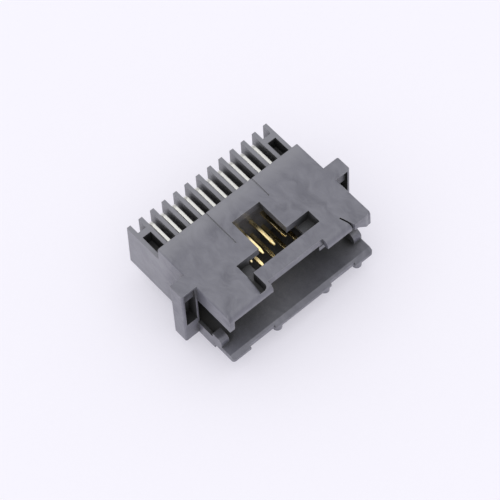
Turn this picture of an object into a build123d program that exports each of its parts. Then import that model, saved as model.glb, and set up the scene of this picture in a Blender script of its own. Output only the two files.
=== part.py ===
from build123d import *
import math
import os

os.makedirs("parts", exist_ok=True)

# Right-angle shrouded pin header with two rows of ten contacts, sizes in millimetres.
# The origin lies on the board, under the middle of the housing.
# +X runs along the row, +Y towards the comb of fins, +Z up from the board.
# The mating plug comes in along +Y through the open front, which faces -Y.
# A size whose name ends in _from_back is measured forward from the rear faces of the fins.

# Contacts
pitch = 2.5
columns = 10
post = 0.64
row_spacing = 4.4
upper_row_height = 9.63
contact_tips_from_back = 18.2
upper_tail_from_back = 0.85
tail_row_spacing = 2.5
tail_below_board = 3.2
bend_radius = 0.9
tip_length = 0.9
tip_end = 0.3
contact_fit = 0.01

# Housing
side_room = 0.22
side_draft = 1.3
depth = 26.7
height = 14.5
board_gap = 1.1
floor_thickness = 1.2
roof_thickness = 1.65
side_wall = 1.25
back_wall = 3.8
roof_setback = 0.5
top_edge_round = 0.4
floor_corner_radius = 0.6
small_round = 0.3

# Comb of fins behind the back wall
fin_thickness = 0.75
fin_length = 8.2
fin_top = 11.3
heel_radius = 1.1

# End gaps of the comb: a web between the fins, and a blind pocket between it and the back wall
end_web_from_back = 2.0
end_web_thickness = 1.2
end_pocket_floor = 8.5

# Front of the socket
skirt_bottom = 10.6
lead_in_length = 0.9
lead_in_drop = 0.6
bridge_setback = 1.4
recess_half_width = 5.95

# Two ribs under the roof, either side of the latch
rib_inner_half_width = 5.2
rib_outer_half_width = 8.6
rib_depth = 1.35
rib_front_from_back = 24.9

# Sloping shoulder inside the right-hand side, which keys the plug, and its rounded front
shoulder_land = 0.9
wing_advance = 0.3
wing_corner_radius = 1.5

# Latch window in the roof, shaped like a T whose bar has blind ends
stem_half_width = 3.0
stem_rear_from_back = 12.5
bar_half_width = 7.85
bar_rear_from_back = 19.25
bar_front_from_back = 22.05
blind_depth = 2.4

# Groove beside the bridge, with a thin lip in front; its outer edge gets rounder to the front
groove_width = 1.25
groove_lip = 0.45
groove_round_rear = 0.15
groove_round_front = 1.3
groove_end_radius = 0.8

# Slit in the right-hand plate, slanted outwards to the front
slit_x = 10.68
slit_width = 0.3
slit_rear_from_back = 23.8
slit_slant = 18

# Shallow lines on the roof, either side of the latch
line_x = 5.0
line_width = 0.25
line_depth = 0.12
left_line_length = 7.7
right_line_length = 4.5

# Ears on both ends, each with a shallow recess and a deeper pocket in its front face
ear_reach = 2.78
ear_front_from_back = 17.8
ear_thickness = 3.0
ear_pocket_wall = 0.55
ear_pocket_bottom = 4.7
ear_pocket_top = 11.0
ear_pocket_depth = 2.2
ear_recess_top = 14.1
ear_recess_depth = 0.6

# Sides of the open front: grooves beside the ears, sills and guide posts on the floor
web_thickness = 0.35
side_groove_depth = 2.2
sill_height = 0.9
sill_thickness = 0.6
guide_front_from_back = 23.7
guide_length = 2.2
guide_height = 1.9
guide_thickness = 1.7
guide_round = 1.0

# Rails and feet under the floor, and tabs along its front edge
rail_front_from_back = 21.9
foot_diameter = 1.7
middle_tab_half_width = 6.15
side_tab_half_width = 11.7
tab_reach = 0.5

# Places that follow from the sizes above
half_width = ((columns + 2) * pitch + fin_thickness) / 2 + side_room
rear_y = depth / 2
front_y = -depth / 2
root_y = rear_y - fin_length
wall_front_y = root_y - back_wall
roof_front_y = front_y + roof_setback
ear_front_y = rear_y - ear_front_from_back
bridge_front_y = roof_front_y + bridge_setback
bar_rear_y = rear_y - bar_rear_from_back
bar_front_y = rear_y - bar_front_from_back
floor_top = board_gap + floor_thickness
roof_underside = height - roof_thickness
blind_floor = height - blind_depth
slot_width = pitch - fin_thickness
lower_row_height = upper_row_height - row_spacing
upper_tail_y = rear_y - upper_tail_from_back
lower_tail_y = upper_tail_y - tail_row_spacing
slit_rear_y = rear_y - slit_rear_from_back
slit_drift = (slit_rear_y - roof_front_y) * math.tan(math.radians(slit_slant))
beyond = 2.0


def side_x(z):
    """Half of the housing's width at a height: the sides lean in by the draft."""
    return half_width - (z - board_gap) * math.tan(math.radians(side_draft))


def block(x0, x1, y0, y1, z0, z1):
    """Box between two opposite corners."""
    middle = ((x0 + x1) / 2, (y0 + y1) / 2, (z0 + z1) / 2)
    return Pos(*middle) * Box(abs(x1 - x0), abs(y1 - y0), abs(z1 - z0))


def both_ends(solid):
    """The solid together with its mirror image at the other end of the row."""
    return solid + mirror(solid, about=Plane.YZ)


def front_prism(sketch, y_front, y_rear):
    """Front view sketch, X by Z, pulled through from one depth to another."""
    plane = Plane(origin=(0, y_rear, 0), x_dir=(1, 0, 0), z_dir=(0, -1, 0))
    return extrude(plane * sketch, amount=y_rear - y_front)


def column_x(number):
    """X of a column of contacts, counted from 0 at the left."""
    return (number - (columns - 1) / 2) * pitch


def drafted_front_view():
    """Front view of the housing: sides that lean in, and rounded top edges."""
    with BuildSketch() as view:
        with BuildLine():
            Polyline(
                (-side_x(0), 0),
                (side_x(0), 0),
                (side_x(height), height),
                (-side_x(height), height),
                close=True,
            )
        make_face()
        fillet(view.vertices().group_by(Axis.Y)[-1], top_edge_round)
    return view.sketch


def side_view():
    """Side view of the housing without its openings."""
    with BuildSketch(Plane.YZ) as view:
        with BuildLine():
            Polyline(
                (front_y, board_gap),
                (rear_y, board_gap),
                (rear_y, fin_top),
                (root_y, fin_top),
                (root_y, height),
                (roof_front_y, height),
                (roof_front_y, floor_top),
                (front_y + lead_in_length, floor_top),
                (front_y, floor_top - lead_in_drop),
                close=True,
            )
        make_face()
        rear_corners = view.vertices().group_by(Axis.Y)[-1].sort_by(Axis.Z)
        fillet(rear_corners[0], heel_radius)
        fillet(rear_corners[-1], small_round)
    return view.sketch


def rounded_plan(front, side, corner_radius):
    """Upright block over the whole plan, with both front corners rounded."""
    with BuildSketch() as view:
        with Locations((0, (front + rear_y) / 2)):
            Rectangle(2 * side, rear_y - front)
        fillet(view.vertices().group_by(Axis.Y)[0], corner_radius)
    return extrude(view.sketch, amount=height)


def outline():
    """Housing without its openings: side view, front view and plan, each trimming the others."""
    lengthwise = extrude(side_view(), amount=half_width, both=True)
    across = front_prism(drafted_front_view(), front_y, rear_y)
    upright = rounded_plan(front_y, side_x(0), floor_corner_radius)
    return lengthwise & across & upright


def comb_slots():
    """Gaps between the fins, open below for the tails; a web divides the two at the ends."""
    gaps = []
    web_rear_y = rear_y - end_web_from_back
    for number in range(-1, columns + 1):
        left = column_x(number) - slot_width / 2
        right = left + slot_width
        if number in (-1, columns):
            gaps.append(block(left, right, web_rear_y, rear_y + beyond, 0, height))
            gaps.append(block(left, right, root_y, web_rear_y - end_web_thickness, end_pocket_floor, height))
        else:
            gaps.append(block(left, right, root_y, rear_y + beyond, 0, height))
    return gaps


def socket():
    """Cavity for the plug, open to the front and at both sides below the skirts."""
    inner = half_width - side_wall
    web_inner = half_width - web_thickness
    groove_rear = ear_front_y + side_groove_depth
    cavity = block(-inner, inner, front_y - beyond, wall_front_y, floor_top, roof_underside)
    sides = block(-2 * half_width, 2 * half_width, front_y - beyond, ear_front_y, floor_top, skirt_bottom)
    grooves = block(-web_inner, web_inner, front_y - beyond, groove_rear, floor_top, skirt_bottom)
    return [cavity, sides, grooves]


def ribs():
    """Ribs under the roof, which close the ends of the latch window's bar from below."""
    rib_front = rear_y - rib_front_from_back
    return both_ends(block(
        rib_inner_half_width,
        rib_outer_half_width,
        rib_front,
        wall_front_y,
        roof_underside - rib_depth,
        roof_underside,
    ))


def shoulder():
    """Right-hand side of the mouth: the sloping shoulder and the wing that reaches past the roof."""
    left = slit_x + slit_drift
    foot = half_width - shoulder_land
    rise = roof_underside - skirt_bottom
    with BuildSketch() as view:
        with BuildLine():
            Polyline(
                (left, height),
                (2 * half_width, height),
                (2 * half_width, skirt_bottom),
                (foot, skirt_bottom),
                (foot - rise, roof_underside),
                (left, roof_underside),
                close=True,
            )
        make_face()
    front = roof_front_y - wing_advance
    solid = front_prism(view.sketch & drafted_front_view(), front, wall_front_y)
    return solid & rounded_plan(front, side_x(skirt_bottom), wing_corner_radius)


def latch_window():
    """T-shaped window and the recess in front of its bridge."""
    low = roof_underside - small_round
    high = height + beyond
    stem_rear = rear_y - stem_rear_from_back
    stem = block(-stem_half_width, stem_half_width, bar_rear_y - small_round, stem_rear, low, high)
    bar = block(-rib_inner_half_width, rib_inner_half_width, bar_front_y, bar_rear_y, low, high)
    blind_ends = block(-bar_half_width, bar_half_width, bar_front_y, bar_rear_y, blind_floor, high)
    recess = block(-recess_half_width, recess_half_width, front_y - beyond, bridge_front_y, low, high)
    return [stem, bar, blind_ends, recess]


def groove_edge(y, radius):
    """Section of what a rounding takes off the groove's outer edge."""
    plane = Plane(origin=(-bar_half_width, y, height), x_dir=(1, 0, 0), z_dir=(0, -1, 0))
    corner = Pos(-radius / 2, -radius / 2) * Rectangle(radius, radius)
    return (plane * (corner - Pos(-radius, -radius) * Circle(radius))).face()


def groove():
    """Blind groove from the left end of the bar almost to the front, its outer edge rounded."""
    left = -bar_half_width
    front = roof_front_y + groove_lip
    channel = block(left, left + groove_width, front, bar_front_y + small_round, blind_floor, height + beyond)
    inner_corner = channel.edges().filter_by(Axis.Z).group_by(Axis.Y)[0].sort_by(Axis.X)[-1]
    channel = fillet(inner_corner, groove_end_radius)
    sections = [groove_edge(bar_front_y, groove_round_rear), groove_edge(front, groove_round_front)]
    return [channel, loft(sections, ruled=True)]


def slit():
    """Narrow slit that parts the wing from the front of the right-hand plate."""
    reach = slit_rear_y - roof_front_y + beyond
    cut = Pos(0, -reach / 2, 0) * Box(slit_width, reach, 2 * roof_thickness + small_round)
    return Pos(slit_x, slit_rear_y, height) * Rot(0, 0, slit_slant) * cut


def roof_lines():
    """Two shallow lines that run forward over the roof from its rear edge."""
    lines = []
    for x, length in ((-line_x, left_line_length), (line_x, right_line_length)):
        lines.append(block(
            x - line_width / 2,
            x + line_width / 2,
            root_y - length,
            root_y + beyond,
            height - line_depth,
            height + beyond,
        ))
    return lines


def contact_holes():
    """Square holes through the back wall, one for each contact."""
    side = post + 2 * contact_fit
    holes = []
    for row_height in (upper_row_height, lower_row_height):
        for number in range(columns):
            place = Pos(column_x(number), (root_y + wall_front_y) / 2, row_height)
            holes.append(place * Box(side, back_wall + 2 * small_round, side))
    return holes


def ear():
    """Right-hand ear: a full-height post with a pocket for a board lock in its front face."""
    outer = half_width + ear_reach
    solid = block(half_width - side_wall / 2, outer, ear_front_y, ear_front_y + ear_thickness, 0, height)
    outer_edges = solid.edges().filter_by(Axis.Z).group_by(Axis.X)[-1]
    solid = fillet(outer_edges, small_round)
    pocket_outer = outer - ear_pocket_wall
    for top, recess_depth in ((ear_pocket_top, ear_pocket_depth), (ear_recess_top, ear_recess_depth)):
        solid -= block(
            half_width,
            pocket_outer,
            ear_front_y - beyond,
            ear_front_y + recess_depth,
            ear_pocket_bottom,
            top,
        )
    return solid


def guide_and_sill():
    """Right-hand guide post on the floor, and the low sill between it and the ear."""
    front = rear_y - guide_front_from_back
    foot = floor_top - floor_thickness / 2
    post_top = floor_top + guide_height
    guide = block(half_width - guide_thickness, half_width, front, front + guide_length, foot, post_top)
    top_front = guide.edges().filter_by(Axis.X).group_by(Axis.Z)[-1].sort_by(Axis.Y)[0]
    guide = fillet(top_front, guide_round)
    sill = block(half_width - sill_thickness, half_width, front + guide_length / 2, ear_front_y,
                 foot, floor_top + sill_height)
    return guide + sill


def rail():
    """Right-hand rail under the floor, from the ear forward."""
    rail_front = rear_y - rail_front_from_back
    return block(half_width - guide_thickness, half_width, rail_front, ear_front_y, 0, floor_top)


def feet():
    """Round feet under the front edge: two at the ends of the middle tab, one at the right-hand tab."""
    radius = foot_diameter / 2
    foot_height = floor_top - floor_thickness / 2
    middle_foot_x = middle_tab_half_width - radius
    solids = []
    for x in (-middle_foot_x, middle_foot_x, side_tab_half_width + radius):
        solids.append(Pos(x, front_y + radius, foot_height / 2) * Cylinder(radius, foot_height))
    return solids


def front_notch():
    """Right-hand step in the floor's front edge, between the middle tab and the side tab."""
    return block(
        middle_tab_half_width,
        side_tab_half_width,
        front_y - beyond,
        front_y + tab_reach,
        0,
        floor_top + beyond,
    )


def housing():
    """The moulded housing, one piece."""
    solid = outline()
    solid += both_ends(ear())
    solid += both_ends(rail())
    for foot in feet():
        solid += foot
    for opening in comb_slots() + socket():
        solid -= opening
    solid += ribs()
    solid += shoulder()
    for opening in latch_window() + groove() + contact_holes() + roof_lines():
        solid -= opening
    solid -= slit()
    solid -= both_ends(front_notch())
    solid += both_ends(guide_and_sill())
    return solid


def contact(x, row_height, tail_y):
    """One square contact: a straight pin for the plug, bent down into a solder tail."""
    taper = math.degrees(math.atan((post - tip_end) / 2 / tip_length))
    pin_start = (x, rear_y - contact_tips_from_back + tip_length, row_height)
    tail_end = (x, tail_y, tip_length - tail_below_board)
    route = FilletPolyline(pin_start, (x, tail_y, row_height), tail_end, radius=bend_radius)
    pin_plane = Plane(origin=pin_start, x_dir=(1, 0, 0), z_dir=(0, 1, 0))
    shank = sweep(pin_plane * Rectangle(post, post), path=route)
    pin_tip = extrude(Plane(origin=pin_start, x_dir=(1, 0, 0), z_dir=(0, -1, 0)) * Rectangle(post, post),
                      amount=tip_length, taper=taper)
    tail_tip = extrude(Plane(origin=tail_end, x_dir=(1, 0, 0), z_dir=(0, 0, -1)) * Rectangle(post, post),
                       amount=tip_length, taper=taper)
    return shank + pin_tip + tail_tip


export_step(housing(), "parts/housing.step")
for number in range(columns):
    label = f"{number + 1:02d}"
    x = column_x(number)
    export_step(contact(x, upper_row_height, upper_tail_y), f"parts/contact_upper_{label}.step")
    export_step(contact(x, lower_row_height, lower_tail_y), f"parts/contact_lower_{label}.step")
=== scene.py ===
import bmesh
import bpy
import math
from mathutils import Matrix, Vector


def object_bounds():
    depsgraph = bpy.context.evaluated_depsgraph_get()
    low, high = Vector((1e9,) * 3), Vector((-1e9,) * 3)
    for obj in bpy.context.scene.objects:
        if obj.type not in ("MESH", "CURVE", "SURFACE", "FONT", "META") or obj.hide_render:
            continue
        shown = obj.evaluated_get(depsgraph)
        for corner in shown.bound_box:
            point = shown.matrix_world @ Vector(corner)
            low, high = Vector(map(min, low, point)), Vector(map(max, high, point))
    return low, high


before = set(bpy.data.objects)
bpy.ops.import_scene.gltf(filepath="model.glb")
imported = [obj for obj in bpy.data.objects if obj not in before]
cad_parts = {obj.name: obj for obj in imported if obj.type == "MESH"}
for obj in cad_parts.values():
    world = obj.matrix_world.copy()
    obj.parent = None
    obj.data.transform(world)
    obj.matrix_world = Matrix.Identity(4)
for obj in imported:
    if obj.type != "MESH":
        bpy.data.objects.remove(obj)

# Lengths are in millimetres, which MM turns into metres, and angles are in degrees
MM = 0.001
cad_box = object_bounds()

# Camera: a long lens that looks down on the front left corner of the header
CAMERA_AZIMUTH = -37.52
CAMERA_ELEVATION = 59.28
CAMERA_ROLL = -4.16
CAMERA_PLACE = (-134.554, -174.862, 374.655)
FOCAL_LENGTH = 184.896
SENSOR_WIDTH = 36.0
NEAREST_SEEN = 50.0
FARTHEST_SEEN = 5000.0

# Floor, just under the tips of the solder tails
TAIL_CLEARANCE = 0.02
FLOOR_LEVEL = cad_box[0][2] / MM - TAIL_CLEARANCE
FLOOR_HALF_SIDE = 1000.0

# White card of the floor; the backdrop's glow is mixed in to keep the shadow on it faint
CARD_COLOURS = (0.925, 0.905, 0.985, 1), (0.935, 0.915, 0.995, 1)
BACKDROP = (0.935, 0.918, 1.0, 1)
SHADOW_LIFT = 0.4

# Light
WHITE = (1, 1, 1, 1)
SURROUNDINGS_LEVEL = 0.68
LAMP_LEVEL = 1.1
LAMP_SPREAD = 96
LAMP_TILTS = (7, -12, 0)

# Depths along the header: Y in its own frame, which grows towards the tips of the fins
FIN_TIPS = cad_box[1][1] / MM
FIN_ENDS_START = FIN_TIPS - 6.0
# Painted light on the fins, from none at the first depth to full at the second
COMB_PAINTED_LIGHT_BY = FIN_TIPS - 9.15
COMB_PAINTED_LIGHT_FROM = FIN_TIPS - 11.65
PLATING_CHANGE = FIN_TIPS - 10.15
PLATING_BLEND = 0.15

# Plastic: colours, the share that each mark takes of the colour under it, and roughness off and on a streak
CLOUD_COLOURS = (0.085, 0.085, 0.115, 1), (0.136, 0.136, 0.172, 1)
STREAK_COLOUR = (0.200, 0.200, 0.240, 1)
STREAK_SHARE = 0.6
SPECK_COLOUR = (0.17, 0.17, 0.185, 1)
SPECK_SHARE = 0.25
# Edges: paler with wear and with a painted highlight along the rounded edges
EDGE_WEAR_AND_HIGHLIGHT_COLOUR = (0.30, 0.30, 0.33, 1)
EDGE_WEAR_AND_HIGHLIGHT_SHARE = 0.8
# Painted light: the fins are painted paler towards their open ends
COMB_PAINTED_LIGHT_COLOUR = (0.235, 0.235, 0.265, 1)
COMB_PAINTED_LIGHT_SHARE = 0.6
PLASTIC_ROUGHNESS = 0.40, 0.30

# Painted shade in recesses: openness runs from 0, shut in all round, to 1, quite open, and the less open a
# place is the darker it is painted
OPENNESS_REACH = 24.0
FIN_ENDS_OPENNESS = 0.35
DEEP_PAINTED_SHADE = 0.06, 0.38
PAINTED_SHADE_RIM = 0.46, 0.66
PAINTED_SHADE_COLOURS = (0.004, 0.004, 0.004, 1), (0.030, 0.031, 0.033, 1)
RECESS_ROUGHNESS = 0.6

# Metal: pairs run from the darker or smoother places to the paler or rougher ones
GOLD_COLOURS = (1.0, 0.76, 0.34, 1), (1.0, 0.88, 0.54, 1)
GOLD_ROUGHNESS = 0.14, 0.26
TIN_COLOURS = (0.74, 0.74, 0.72, 1), (0.92, 0.92, 0.90, 1)
TIN_ROUGHNESS = 0.30, 0.44
DRAWN_COLOUR = (0.82, 0.68, 0.42, 1)
DRAWN_SHARE = 0.1
DRAWN_STRETCH = (14.0, 0.9, 0.9)

# Patterns: the part of a noise's range that is spread over 0 to 1
GRAIN_RANGE = 0.3, 0.7
CLOUD_RANGE = 0.3, 0.7
STREAK_RANGE = 0.32, 0.68
CLOUDS_PER_MM = 0.22
SWIRLS_PER_MM = 0.16
STREAK_STRETCH = (1.0, 0.3, 1.0)
PATTERN_SHIFT = (3.0, 11.0, 5.0)

# Edges: the rounded and the flat normal's product where an edge starts to show, and where it shows in full
EDGE_RANGE = 0.99, 0.85


# Node helpers

def add(tree, kind, inputs=None, **settings):
    """A shader node with its settings, and its inputs by name or number: a value, or a socket to link."""
    node = tree.nodes.new(kind)
    for name, value in settings.items():
        setattr(node, name, value)
    for socket, value in (inputs or {}).items():
        if isinstance(value, bpy.types.NodeSocket):
            tree.links.new(value, node.inputs[socket])
        else:
            node.inputs[socket].default_value = value
    return node


def new_group(name, inputs, outputs):
    """A shader node group; its inputs and outputs are pairs of name and kind."""
    group = bpy.data.node_groups.new(name, "ShaderNodeTree")
    for direction, sockets in (("INPUT", inputs), ("OUTPUT", outputs)):
        for label, kind in sockets:
            group.interface.new_socket(name=label, in_out=direction, socket_type="NodeSocket" + kind)
    return group, group.nodes.new("NodeGroupInput").outputs, group.nodes.new("NodeGroupOutput").inputs


def place_group(tree, group, inputs):
    return add(tree, "ShaderNodeGroup", inputs, node_tree=group).outputs


def number_math(tree, operation, first, second):
    return add(tree, "ShaderNodeMath", {0: first, 1: second}, operation=operation).outputs[0]


def vector_math(tree, operation, inputs):
    return add(tree, "ShaderNodeVectorMath", inputs, operation=operation).outputs


def noise(tree, place, per_mm, detail, roughness):
    return add(tree, "ShaderNodeTexNoise", {
        "Vector": place, "Scale": per_mm, "Detail": detail, "Roughness": roughness}).outputs


def remap(tree, value, low, high, to_low=0.0, to_high=1.0):
    """The value carried over from one range to another, and held within it."""
    return add(tree, "ShaderNodeMapRange", {
        "Value": value, "From Min": low, "From Max": high, "To Min": to_low, "To Max": to_high}).outputs[0]


def blend_numbers(tree, factor, first, second):
    return add(tree, "ShaderNodeMix", {0: factor, 2: first, 3: second}).outputs[0]


def blend_colours(tree, factor, first, second, mode="MIX"):
    node = add(tree, "ShaderNodeMix", {0: factor, 6: first, 7: second}, data_type="RGBA", blend_type=mode)
    return node.outputs[2]


def tinted(tree, colour, mask, share, tint, mode="MIX"):
    """The colour, which gives up to a share of itself to a tint where the mask is high."""
    return blend_colours(tree, number_math(tree, "MULTIPLY", mask, share), colour, tint, mode)


def bumped(tree, height, normal, strength, size):
    return add(tree, "ShaderNodeBump", {
        "Height": height, "Normal": normal, "Strength": strength, "Distance": size * MM}).outputs[0]


def object_millimetres(tree, stretch=(1, 1, 1), shift=(0, 0, 0)):
    """Object coordinates in millimetres, stretched or shifted for a pattern."""
    coordinates = tree.nodes.new("ShaderNodeTexCoord").outputs["Object"]
    scale = tuple(factor / MM for factor in stretch)
    return add(tree, "ShaderNodeMapping", {
        "Vector": coordinates, "Location": shift, "Scale": scale}).outputs["Vector"]


def header_depth(tree):
    """How far back a place lies in the header, in the terms of the depths above."""
    return add(tree, "ShaderNodeSeparateXYZ", {"Vector": object_millimetres(tree)}).outputs["Y"]


def new_material(name):
    material = bpy.data.materials.new(name)
    material.use_nodes = True
    material.node_tree.nodes.clear()
    return material, material.node_tree


def finish_material(tree, shader):
    output = tree.nodes.new("ShaderNodeOutputMaterial")
    tree.links.new(shader.outputs[0], output.inputs["Surface"])


def assign(piece, material):
    piece.data.materials.clear()
    piece.data.materials.append(material)


# Effects that the materials share

def edge_effect():
    """Softly rounded edges, and a mask of where they are."""
    group, given, result = new_group(
        "rounded_edges", [("Radius", "Float")], [("Edge", "Float"), ("Normal", "Vector")])
    soft = add(group, "ShaderNodeBevel", {"Radius": given["Radius"]}, samples=6).outputs["Normal"]
    flat = group.nodes.new("ShaderNodeNewGeometry").outputs["Normal"]
    alike = vector_math(group, "DOT_PRODUCT", {0: soft, 1: flat})["Value"]
    group.links.new(remap(group, alike, *EDGE_RANGE), result["Edge"])
    group.links.new(soft, result["Normal"])
    return group


def grain_effect():
    """Fine uneven grain, as a height and a mask."""
    group, given, result = new_group(
        "fine_grain",
        [("Vector", "Vector"), ("Grains per mm", "Float"), ("Detail", "Float")],
        [("Grain", "Float")])
    grains = noise(group, given["Vector"], given["Grains per mm"], given["Detail"], roughness=0.6)["Fac"]
    group.links.new(remap(group, grains, *GRAIN_RANGE), result["Grain"])
    return group


def flow_effect():
    """Curling streaks and wide clouds, which a filled melt leaves where it flowed."""
    group, given, result = new_group(
        "flow_marks",
        [("Vector", "Vector"), ("Streaks per mm", "Float"), ("Swirl", "Float")],
        [("Streaks", "Float"), ("Clouds", "Float")])
    drift = noise(group, given["Vector"], SWIRLS_PER_MM, detail=2.0, roughness=0.5)["Color"]
    centred = vector_math(group, "SUBTRACT", {0: drift, 1: (0.5, 0.5, 0.5)})["Vector"]
    pushed = vector_math(group, "SCALE", {0: centred, "Scale": given["Swirl"]})["Vector"]
    moved = vector_math(group, "ADD", {0: given["Vector"], 1: pushed})["Vector"]
    along = add(group, "ShaderNodeMapping", {"Vector": moved, "Scale": STREAK_STRETCH}).outputs["Vector"]
    streaks = noise(group, along, given["Streaks per mm"], detail=4.0, roughness=0.62)["Fac"]
    clouds = noise(group, moved, CLOUDS_PER_MM, detail=2.0, roughness=0.5)["Fac"]
    group.links.new(remap(group, streaks, *STREAK_RANGE), result["Streaks"])
    group.links.new(remap(group, clouds, *CLOUD_RANGE), result["Clouds"])
    return group


# Materials

def openness(tree, depth):
    """How open a place lies, which sets how much shade is painted; the ends of the fins, which stand in the
    light, count as more open, so less shade is painted there.
    """
    shut_in = add(
        tree, "ShaderNodeAmbientOcclusion", {"Distance": OPENNESS_REACH * MM}, samples=8, only_local=True)
    fin_ends = remap(tree, depth, FIN_ENDS_START, FIN_TIPS, 0.0, FIN_ENDS_OPENNESS)
    return number_math(tree, "ADD", shut_in.outputs["AO"], fin_ends)


def moulded_plastic(edges, grain, flow):
    """Dark grey filled polyester: flow streaks, fine grain, edges paler with wear and a painted highlight,
    painted light on the fins, painted shade in the matt recesses.
    """
    material, tree = new_material("moulded_plastic")
    place = object_millimetres(tree, shift=PATTERN_SHIFT)
    depth = header_depth(tree)
    edge = place_group(tree, edges, {"Radius": 0.15 * MM})
    fine = place_group(tree, grain, {"Vector": place, "Grains per mm": 7.0, "Detail": 3.0})
    marks = place_group(tree, flow, {"Vector": place, "Streaks per mm": 0.6, "Swirl": 9.0})
    # Painted light: the fins are painted paler towards their open ends
    painted_fin_light = remap(tree, depth, COMB_PAINTED_LIGHT_FROM, COMB_PAINTED_LIGHT_BY)
    colour = blend_colours(tree, marks["Clouds"], *CLOUD_COLOURS)
    colour = tinted(tree, colour, marks["Streaks"], STREAK_SHARE, STREAK_COLOUR)
    colour = tinted(tree, colour, fine["Grain"], SPECK_SHARE, SPECK_COLOUR)
    # Edges paler with wear and with a painted highlight
    colour = tinted(tree, colour, edge["Edge"], EDGE_WEAR_AND_HIGHLIGHT_SHARE, EDGE_WEAR_AND_HIGHLIGHT_COLOUR)
    colour = tinted(tree, colour, painted_fin_light, COMB_PAINTED_LIGHT_SHARE, COMB_PAINTED_LIGHT_COLOUR)
    # Painted shade: places shut in all round are painted dark, down to near black
    open_air = openness(tree, depth)
    painted_shade = blend_colours(tree, remap(tree, open_air, *DEEP_PAINTED_SHADE), *PAINTED_SHADE_COLOURS)
    clear_of_painted_shade = remap(tree, open_air, *PAINTED_SHADE_RIM)
    colour = blend_colours(tree, clear_of_painted_shade, painted_shade, colour)
    gloss = blend_numbers(tree, marks["Streaks"], *PLASTIC_ROUGHNESS)
    roughness = blend_numbers(tree, clear_of_painted_shade, RECESS_ROUGHNESS, gloss)
    relief = bumped(tree, fine["Grain"], edge["Normal"], strength=0.35, size=0.02)
    relief = bumped(tree, marks["Streaks"], relief, strength=0.3, size=0.03)
    shader = add(tree, "ShaderNodeBsdfPrincipled", {
        "Base Color": colour, "Roughness": roughness, "Specular IOR Level": 0.8, "Normal": relief})
    finish_material(tree, shader)
    return material


def contact_metal(edges, grain):
    """Square wire: gold over the mating end, bright tin on the tail, changing inside the back wall."""
    material, tree = new_material("contact_metal")
    drawn = object_millimetres(tree, stretch=DRAWN_STRETCH)
    edge = place_group(tree, edges, {"Radius": 0.14 * MM})
    fine = place_group(tree, grain, {"Vector": drawn, "Grains per mm": 1.0, "Detail": 4.0})
    cloudy = place_group(tree, grain, {
        "Vector": object_millimetres(tree), "Grains per mm": 1.6, "Detail": 3.0})
    tail = remap(
        tree, header_depth(tree), PLATING_CHANGE - PLATING_BLEND, PLATING_CHANGE + PLATING_BLEND)
    gold = blend_colours(tree, cloudy["Grain"], *GOLD_COLOURS)
    tin = blend_colours(tree, cloudy["Grain"], *TIN_COLOURS)
    colour = blend_colours(tree, tail, gold, tin)
    colour = tinted(tree, colour, fine["Grain"], DRAWN_SHARE, DRAWN_COLOUR, "MULTIPLY")
    gold_gloss = blend_numbers(tree, fine["Grain"], *GOLD_ROUGHNESS)
    tin_gloss = blend_numbers(tree, cloudy["Grain"], *TIN_ROUGHNESS)
    roughness = blend_numbers(tree, tail, gold_gloss, tin_gloss)
    relief = bumped(tree, fine["Grain"], edge["Normal"], strength=0.1, size=0.01)
    shader = add(tree, "ShaderNodeBsdfPrincipled", {
        "Base Color": colour, "Metallic": 1.0, "Roughness": roughness, "Normal": relief})
    finish_material(tree, shader)
    return material


def pale_floor(grain):
    """White card with a faint tooth, whose shadow is lifted where the camera or a reflection sees it."""
    material, tree = new_material("white_card")
    fine = place_group(tree, grain, {
        "Vector": object_millimetres(tree), "Grains per mm": 2.0, "Detail": 2.0})
    colour = blend_colours(tree, fine["Grain"], *CARD_COLOURS)
    card = add(tree, "ShaderNodeBsdfDiffuse", {"Color": colour}).outputs[0]
    backdrop = add(tree, "ShaderNodeEmission", {"Color": BACKDROP, "Strength": 1.0}).outputs[0]
    rays = tree.nodes.new("ShaderNodeLightPath").outputs
    seen = number_math(tree, "MAXIMUM", rays["Is Camera Ray"], rays["Is Glossy Ray"])
    lifted = number_math(tree, "MULTIPLY", seen, SHADOW_LIFT)
    finish_material(tree, add(tree, "ShaderNodeMixShader", {0: lifted, 1: card, 2: backdrop}))
    return material


# Stage, light and camera

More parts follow.
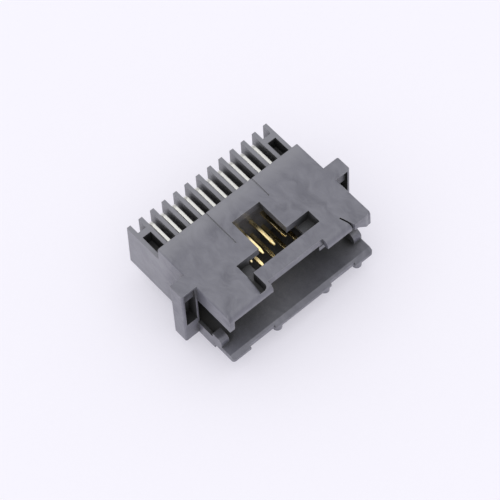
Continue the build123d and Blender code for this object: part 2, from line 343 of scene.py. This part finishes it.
def floor(level, half_side):
    shape = bmesh.new()
    bmesh.ops.create_grid(shape, x_segments=1, y_segments=1, size=half_side * MM)
    bmesh.ops.translate(shape, verts=shape.verts, vec=(0, 0, level * MM))
    mesh = bpy.data.meshes.new("floor")
    shape.to_mesh(mesh)
    shape.free()
    piece = bpy.data.objects.new("floor", mesh)
    bpy.context.scene.collection.objects.link(piece)
    return piece


def studio():
    """Even pale surroundings and one wide soft lamp overhead."""
    world = bpy.data.worlds.new("studio")
    world.use_nodes = True
    surroundings = world.node_tree.nodes["Background"]
    surroundings.inputs["Color"].default_value = WHITE
    surroundings.inputs["Strength"].default_value = SURROUNDINGS_LEVEL
    bpy.context.scene.world = world
    lamp = bpy.data.lights.new("overhead", "SUN")
    lamp.energy = LAMP_LEVEL
    lamp.angle = math.radians(LAMP_SPREAD)
    holder = bpy.data.objects.new("overhead", lamp)
    holder.rotation_euler = [math.radians(tilt) for tilt in LAMP_TILTS]
    bpy.context.scene.collection.objects.link(holder)


def photograph_camera():
    """The camera in its place, turned by its azimuth and elevation and then rolled."""
    azimuth = math.radians(CAMERA_AZIMUTH)
    elevation = math.radians(CAMERA_ELEVATION)
    roll = math.radians(CAMERA_ROLL)
    back = Vector((
        math.sin(azimuth) * math.cos(elevation),
        -math.cos(azimuth) * math.cos(elevation),
        math.sin(elevation),
    ))
    level_right = Vector((0, 0, 1)).cross(back).normalized()
    level_up = back.cross(level_right)
    right = level_right * math.cos(roll) + level_up * math.sin(roll)
    up = level_up * math.cos(roll) - level_right * math.sin(roll)
    data = bpy.data.cameras.new("photograph")
    data.sensor_width = SENSOR_WIDTH
    data.lens = FOCAL_LENGTH
    data.clip_start = NEAREST_SEEN * MM
    data.clip_end = FARTHEST_SEEN * MM
    camera = bpy.data.objects.new("photograph", data)
    turned = Matrix((right, up, back)).transposed().to_4x4()
    turned.translation = Vector(CAMERA_PLACE) * MM
    camera.matrix_world = turned
    bpy.context.scene.collection.objects.link(camera)
    bpy.context.scene.camera = camera


photograph_camera()
studio()
edges, grain, flow = edge_effect(), grain_effect(), flow_effect()
assign(floor(FLOOR_LEVEL, FLOOR_HALF_SIDE), pale_floor(grain))
plastic = moulded_plastic(edges, grain, flow)
metal = contact_metal(edges, grain)
for name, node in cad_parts.items():
    assign(node, plastic if name == "housing" else metal)

bpy.context.scene.view_settings.view_transform = "Standard"
